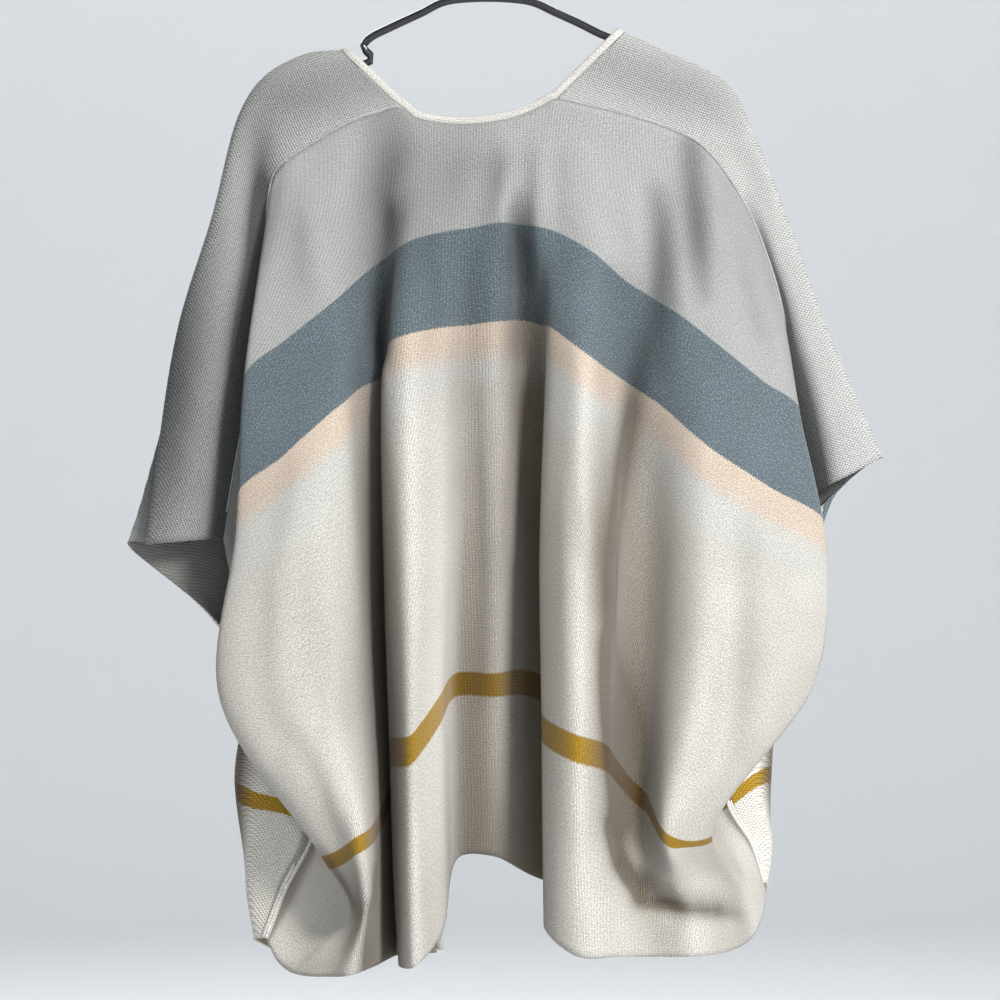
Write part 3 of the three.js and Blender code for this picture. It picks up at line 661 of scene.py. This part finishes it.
def buildBack():
    lastFold = len(backFolds) - 1
    folds = stations([cloth["columnsPerFold"]] * lastFold)
    levels = stations(cloth["backRows"])
    grid = np.array([[splinePlace(places, level) for level in levels]
                     for places in (foldPlaces(backLines, fold) for fold in folds)])
    gap = cloth["seamGap"] * mm / 2
    for i, fold in enumerate(folds):
        grid[i, 0] += np.array(edgeFrame(fold, 0, True)[2]) * gap
    normals = gridNormals(grid)
    for fold, i in ((0, 0), (lastFold, -1)):
        for j, level in enumerate(levels):
            sewn = sewnShare(level)
            if sewn > 0:
                normal, inward = edgeFrame(fold, level, False)[1:]
                grid[i, j] += np.array(inward) * gap
                normals[i, j] = normals[i, j] * (1 - sewn) + np.array(normal) * sewn
    low, high = backForm["creaseFolds"]
    shown = ramp(folds, low, high) * (1 - ramp(folds, lastFold - high, lastFold - low))
    fall = ramp(levels, *backForm["creaseLevels"])
    height = strokes(grid[:, :, 0], grid[:, :, 2], backCreases) * shown[:, None] * fall[None, :]
    outside = grid + normals * (cloth["wall"] * mm / 2 + height[:, :, None])
    u, v = measureCut(grid, levels, levelMarks, 1, len(folds) // 2)
    rimLevels = ramp(levels, *backRim["levelsIn"]) * (1 - ramp(levels, *backRim["levelsOut"]))
    rimFolds = ramp(folds, *backRim["foldsIn"]) * (1 - ramp(folds, *backRim["foldsOut"]))
    v += backRim["lift"] * mm * rimFolds[:, None] * rimLevels[None, :]
    # painted shade: darker where the folds hide the cloth, along the listed strokes, and beside each side
    # seam
    least = backForm["edgeShade"]
    share = 1 - (1 - openShare(outside, -1)) * (least + (1 - least) * shown)[:, None]
    share -= strokes(grid[:, :, 0], grid[:, :, 2], backPaintedShade, tips=0) / mm * shown[:, None]
    besideSeam = 1 - ramp([min(fold, lastFold - fold) for fold in folds], *backForm["seamFade"])
    sewn = np.array([sewnShare(level) for level in levels])
    share -= foldShade["seam"] * besideSeam[:, None] * sewn[None, :]
    piece = makeSheet("backCloth", outside, u, v, share)
    addWall(piece, jersey, wrongSide)
    return piece


def frontLines(folds):
    crest, *below = levelLines([row[2:] for row in folds])
    seam = [edgeFrame(row[0], 0, True)[0] for row in folds]

    def roll(side):
        line = []
        for top, sewn in zip(crest, seam):
            way = sewn - top
            way.y = 0
            out = Vector((0, side * cloth["rollOut"] * mm, 0))
            line.append(top + way.normalized() * cloth["rollDown"] * mm + out)
        return line

    swell = [sewn.lerp(top, cloth["swellShare"]) + Vector((0, -row[1] * mm, 0))
             for sewn, top, row in zip(seam, crest, folds)]
    return [seam, swell, roll(-1), crest, roll(1), *below]


# from which column or level to which: creases of the hidden side, the wing that its neighbours don't
# shade, the strip that comes up from under the back's fold, the parts that show, the seam's shade
frontForm = {
    "creaseLevels": (4.4, 5.0), "plainColumns": (4.0, 5.0),
    "stripColumns": (2.7, 3.7), "stripLevels": (0.2, 1.5), "stripShade": 0.85,
    "shownLevels": (2.6, 3.0), "shownColumns": (4.6, 5.0), "seamColumns": (5.78, 5.9),
}
# where the wing's mustard rises to meet the back's; the levels are the back's
frontRim = {"leftLift": 13, "rightLift": 0, "columns": (4.4, 5.7),
            "levelsIn": (3.6, 3.9), "levelsOut": (4.4, 5.0)}

def buildFront(name, folds, creases, paintedShadeStrokes, mustardLift, reverse):
    lines = frontLines(folds)
    sewnTo = [row[0] for row in folds]
    columns = stations([cloth["columnsPerFold"] * 2] * (len(folds) - 1))
    levels = stations(cloth["frontRows"])
    shift = len(lines) - len(backLines)
    backLevels = [level - shift for level in levels]
    grid = np.array([[splinePlace(places, level) for level in levels]
                     for places in (foldPlaces(lines, column) for column in columns)])
    normals = gridNormals(grid) * (-1 if reverse else 1)
    gap = cloth["seamGap"] * mm / 2
    for i, column in enumerate(columns):
        point, normal, inward = edgeFrame(np.interp(column, range(len(folds)), sewnTo), 0, True)
        grid[i, 0] = np.array(point - inward * gap)
        normals[i, 0] = normal
    for j, level in enumerate(backLevels):
        sewn = sewnShare(level)
        if sewn == 0:
            continue
        point, normal, inward = edgeFrame(sewnTo[-1], level, False)
        onSeam = point - inward * (gap + cloth["openingSpread"] * mm * (1 - sewn))
        grid[-1, j] = grid[-1, j] * (1 - sewn) + np.array(onSeam) * sewn
        grid[-1, j] -= np.array(normal) * cloth["openingStep"] * mm * (1 - sewn)
        normals[-1, j] = normals[-1, j] * (1 - sewn) + np.array(normal) * sewn
    fall = ramp(levels, *frontForm["creaseLevels"])
    height = strokes(grid[:, :, 0], grid[:, :, 2], creases) * fall[None, :]
    outside = grid + normals * (cloth["wall"] * mm / 2 + height[:, :, None])
    u, v = measureCut(grid, levels, levelMarks, shift + 1, 0)
    rimLevels = ramp(backLevels, *frontRim["levelsIn"]) * (1 - ramp(backLevels, *frontRim["levelsOut"]))
    v += mustardLift * mm * ramp(columns, *frontRim["columns"])[:, None] * rimLevels[None, :]
    # painted shade: darker where the folds hide the cloth, under the back's fold, along the listed strokes
    # and beside the seam
    folded = 1 - ramp(columns, *frontForm["plainColumns"])
    share = 1 - (1 - openShare(outside, 1)) * fall[None, :] * folded[:, None]
    under = ramp(columns, *frontForm["stripColumns"])
    rise = 1 - ramp(levels, *frontForm["stripLevels"])
    share -= frontForm["stripShade"] * under[:, None] * rise[None, :]
    beforeCrest = 1 - ramp(levels, *frontForm["shownLevels"])
    wing = ramp(columns, *frontForm["shownColumns"])
    shown = np.maximum(beforeCrest[None, :], wing[:, None])
    share -= strokes(grid[:, :, 0], grid[:, :, 2], paintedShadeStrokes, tips=0) / mm * shown
    atSeam = ramp(columns, *frontForm["seamColumns"])
    sewn = np.array([sewnShare(level) for level in backLevels])
    share -= foldShade["seam"] * atSeam[:, None] * sewn[None, :]
    piece = makeSheet(name, outside, u, v, share, reverse)
    addWall(piece, shoulderKnit, wrongSide)
    return piece


backCloth = buildBack()
leftFront = buildFront("leftFrontCloth", leftFrontFolds, leftFrontCreases, leftFrontPaintedShade,
                       frontRim["leftLift"], reverse=False)
rightFront = buildFront("rightFrontCloth", rightFrontFolds, rightFrontCreases, rightFrontPaintedShade,
                        frontRim["rightLift"], reverse=True)
print("stage: three panels draped")


weldDistance = 1e-5  # metres, below which points are joined

def sweepBand(name, stops, finish, sides=12, flat=False):
    # stops are (centre, wide half vector, high half vector); a grid is rolled up along them and closed
    lastStop = len(stops) - 1
    mesh = bmesh.new()
    cut = mesh.loops.layers.uv.new("cut")
    bmesh.ops.create_grid(mesh, x_segments=sides, y_segments=lastStop, size=1)
    along = [0.0]
    for before, after in zip(stops, stops[1:]):
        along.append(along[-1] + (after[0] - before[0]).length)
    girth = 2 * math.pi * math.sqrt((stops[0][1].length_squared + stops[0][2].length_squared) / 2)
    at = {vert: ((vert.co.x + 1) / 2, round((vert.co.y + 1) / 2 * lastStop)) for vert in mesh.verts}
    for face in mesh.faces:
        face.smooth = True
        for loop in face.loops:
            turn, stop = at[loop.vert]
            loop[cut].uv = (turn * girth, along[stop])
    for vert, (turn, stop) in at.items():
        centre, wide, high = stops[stop]
        angle = 2 * math.pi * turn
        c, s = math.cos(angle), math.sin(angle)
        if flat:
            c, s = math.copysign(abs(c) ** 0.5, c), math.copysign(abs(s) ** 0.5, s)
        vert.co = centre + wide * c + high * s
    bmesh.ops.remove_doubles(mesh, verts=mesh.verts, dist=weldDistance)
    bmesh.ops.holes_fill(mesh, edges=[edge for edge in mesh.edges if edge.is_boundary], sides=0)
    bmesh.ops.recalc_face_normals(mesh, faces=mesh.faces)
    piece = intoScene(name, mesh)
    piece.data.materials.append(finish)
    return piece


# the edging starts at a level over the shoulder and takes longer steps down the hidden front
edging = {
    "halfWidth": 3.6, "halfThickness": 2.3, "clear": 0.1, "startLevel": 0.5, "hiddenLevel": 5,
    "step": 0.05, "hiddenStep": 0.1, "neckStart": 0.25, "neckStep": 0.1,
}

def frontEdgeRoute(folds, reverse):
    lines = frontLines(folds)
    lastLevel = len(lines) - 1
    edge, beside = foldPlaces(lines, 0), foldPlaces(lines, probe)
    part, level = [], edging["startLevel"]
    while level <= lastLevel:
        point = splinePlace(edge, level)
        away = (point - splinePlace(beside, level)).normalized()
        after = splinePlace(edge, min(level + probe, lastLevel))
        along = (after - splinePlace(edge, level - probe)).normalized()
        normal = along.cross(away).normalized()
        away = normal.cross(along)
        if away.dot(point - splinePlace(beside, level)) < 0:
            away = -away
        part.append((point, away, normal if reverse else -normal))
        level += edging["step"] if level < edging["hiddenLevel"] else edging["hiddenStep"]
    return part[::-1] if reverse else part


def edgingRoute():
    # up the left front edge, round the back of the neck and down the right front edge
    route = frontEdgeRoute(leftFrontFolds, True)
    fold = cloth["leftNeckCorner"] + edging["neckStart"]
    while fold < cloth["rightNeckCorner"]:
        point, normal, inward = edgeFrame(fold, 0, True)
        route.append((point, -inward, normal))
        fold += edging["neckStep"]
    return route + frontEdgeRoute(rightFrontFolds, False)


def buildEdging():
    route = edgingRoute()
    offset = (edging["halfWidth"] + cloth["seamGap"] + edging["clear"]) * mm
    centres = [point + away * offset for point, away, _ in route]
    stops = []
    high = route[0][2]
    for k, (_, _, normal) in enumerate(route):
        along = (centres[min(k + 1, len(route) - 1)] - centres[max(k - 1, 0)]).normalized()
        if normal.dot(high) < 0:
            normal = -normal
        high = (normal - along * normal.dot(along)).normalized()
        wide = along.cross(high) * edging["halfWidth"] * mm
        stops.append((centres[k], wide, high * edging["halfThickness"] * mm))
    return sweepBand("edging", stops, edgingKnit)


welt = {"halfWidth": 3.4, "halfThickness": 0.5, "step": 0.05, "sides": 16}

def buildWelt(name, fold):
    stops = []
    level = cloth["weltTop"]
    lastLevel = len(backLines) - 1
    while level <= lastLevel + tiny:
        point, normal, inward = edgeFrame(fold, min(level, lastLevel), False)
        centre = point + normal * cloth["wall"] / 2 * mm
        stops.append((centre, inward * welt["halfWidth"] * mm, normal * welt["halfThickness"] * mm))
        level += welt["step"]
    return sweepBand(name, stops, sideSeamKnit, sides=welt["sides"], flat=True)


# a thin row of stitches just outside the back's top edge; it stops short of both its end folds
shoulderSeam = {
    "halfWidth": 0.9, "halfThickness": 0.7, "outside": 1.0, "above": 0.1, "step": 0.06, "short": 0.1,
    "sides": 8,
}

def buildShoulderSeam(name, firstFold, lastFold):
    stops = []
    fold = firstFold + shoulderSeam["short"]
    while fold <= lastFold - shoulderSeam["short"] + tiny:
        point, normal, inward = edgeFrame(fold, 0, True)
        above = cloth["wall"] / 2 + shoulderSeam["above"]
        centre = point - inward * shoulderSeam["outside"] * mm + normal * above * mm
        wide, high = inward * shoulderSeam["halfWidth"] * mm, normal * shoulderSeam["halfThickness"] * mm
        stops.append((centre, wide, high))
        fold += shoulderSeam["step"]
    return sweepBand(name, stops, shoulderSeamKnit, sides=shoulderSeam["sides"])


edgingBand = buildEdging()
leftWelt = buildWelt("leftSideSeam", 0)
rightWelt = buildWelt("rightSideSeam", len(backFolds) - 1)
leftShoulder = buildShoulderSeam("leftShoulderSeam", 0, cloth["leftNeckCorner"])
rightShoulder = buildShoulderSeam("rightShoulderSeam", cloth["rightNeckCorner"], len(backFolds) - 1)
print("stage: edging and seams laid")


plastic = {
    "dark": (0.008, 0.008, 0.010), "pale": (0.020, 0.020, 0.023), "hazeNoise": (60, 4.0),
    "roughness": (0.16, 0.34), "scratchNoise": (900, 2.0), "bumpStrength": 0.12, "bumpHeight": 0.0004,
    "coat": {"Coat Weight": 0.4, "Coat Roughness": 0.12},
}

def plasticFinish():
    desk = NodeDesk("blackPlastic")
    coordinates = desk.add("ShaderNodeTexCoord").outputs["Object"]
    haze = desk.noise(coordinates, *plastic["hazeNoise"])
    tone = desk.mix(haze, colour(plastic["dark"]), colour(plastic["pale"]))
    roughness = desk.spread(haze, *plastic["roughness"])
    desk.surface({"Base Color": tone, "Roughness": roughness, **plastic["coat"]})
    scratches = desk.noise(coordinates, *plastic["scratchNoise"])
    desk.bump(scratches, plastic["bumpStrength"], plastic["bumpHeight"])
    return desk.material


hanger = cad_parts["hanger"]
blackPlastic = plasticFinish()
for materialSlot in hanger.material_slots:
    materialSlot.material = blackPlastic
if not hanger.material_slots:
    hanger.data.materials.append(blackPlastic)

# each piece is put on the root body, and the frame part that it stands for is hidden
parts = [(backCloth, "back_panel", "striped_knit"), (leftFront, "front_panel_left", "grey_knit"),
         (rightFront, "front_panel_right", "grey_knit"), (edgingBand, "neckband", "edging_knit"),
         (leftWelt, "side_seam_left", "seam_knit"), (rightWelt, "side_seam_right", "seam_knit"),
         (leftShoulder, None, "seam_knit"), (rightShoulder, None, "seam_knit")]
for piece, node, slotName in parts:
    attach(piece, "root")
    if node:
        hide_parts(node)


# studio: a round pale room, so that every side has the same backdrop
studio = {
    "radius": 7.0, "floor": -1.35, "height": 5.0, "corner": 1.6, "cornerSteps": 8, "turnSteps": 64,
    "paint": (0.70, 0.72, 0.74), "roughness": 0.9,
}

def addStudio():
    mesh = bmesh.new()
    radius, floor, corner = studio["radius"], studio["floor"], studio["corner"]
    profile = [Vector((0, 0, floor)), Vector((radius - corner, 0, floor))]
    for k in range(1, studio["cornerSteps"] + 1):
        angle = math.pi / 2 * k / studio["cornerSteps"]
        out, up = corner * math.sin(angle), corner * (1 - math.cos(angle))
        profile.append(Vector((radius - corner + out, 0, floor + up)))
    profile.append(Vector((radius, 0, studio["height"])))
    verts = [mesh.verts.new(point) for point in profile]
    edges = [mesh.edges.new(pair) for pair in zip(verts, verts[1:])]
    bmesh.ops.spin(mesh, geom=verts + edges, cent=(0, 0, 0), axis=(0, 0, 1), angle=2 * math.pi,
                   steps=studio["turnSteps"], use_merge=True)
    bmesh.ops.remove_doubles(mesh, verts=mesh.verts, dist=weldDistance)
    bmesh.ops.recalc_face_normals(mesh, faces=mesh.faces)
    for face in mesh.faces:
        face.smooth = True
    room = intoScene("studioRoom", mesh)
    desk = NodeDesk("studioPaint")
    desk.surface({"Base Color": colour(studio["paint"]), "Roughness": studio["roughness"]})
    room.data.materials.append(desk.material)


garmentMiddle = (0, 0, -0.5)
lamps = [  # name, place and aim in metres, size, watts
    ("keyLamp", (2.2, -2.6, 1.3), garmentMiddle, 0.8, 165),
    ("fillLamp", (-2.4, -3.0, 0.6), garmentMiddle, 2.4, 8),
    ("topLamp", (0.4, -0.6, 2.6), garmentMiddle, 1.6, 14),
    ("backLamp", (-0.6, 3.2, 1.6), garmentMiddle, 2.4, 60),
    ("wallLampBehind", (0, 3.4, 3.0), (0, 7, -0.4), 2.4, 110),
    ("wallLampBefore", (0, -3.4, 3.4), (0, -7, -0.4), 2.4, 110),
]
sky = {"colour": (0.96, 0.98, 1.0), "strength": 0.12}

def addLamps():
    for name, spot, aim, size, watts in lamps:
        data = bpy.data.lights.new(name, "AREA")
        data.size = size
        data.energy = watts
        lamp = bpy.data.objects.new(name, data)
        lamp.location = spot
        lamp.rotation_euler = (Vector(aim) - Vector(spot)).to_track_quat("-Z", "Y").to_euler()
        bpy.context.scene.collection.objects.link(lamp)
    world = bpy.data.worlds.new("softSky")
    world.use_nodes = True
    background = world.node_tree.nodes["Background"]
    background.inputs["Color"].default_value = colour(sky["colour"])
    background.inputs["Strength"].default_value = sky["strength"]
    bpy.context.scene.world = world
    bpy.context.scene.view_settings.view_transform = "Standard"


addStudio()
addLamps()
print("stage: studio lit")
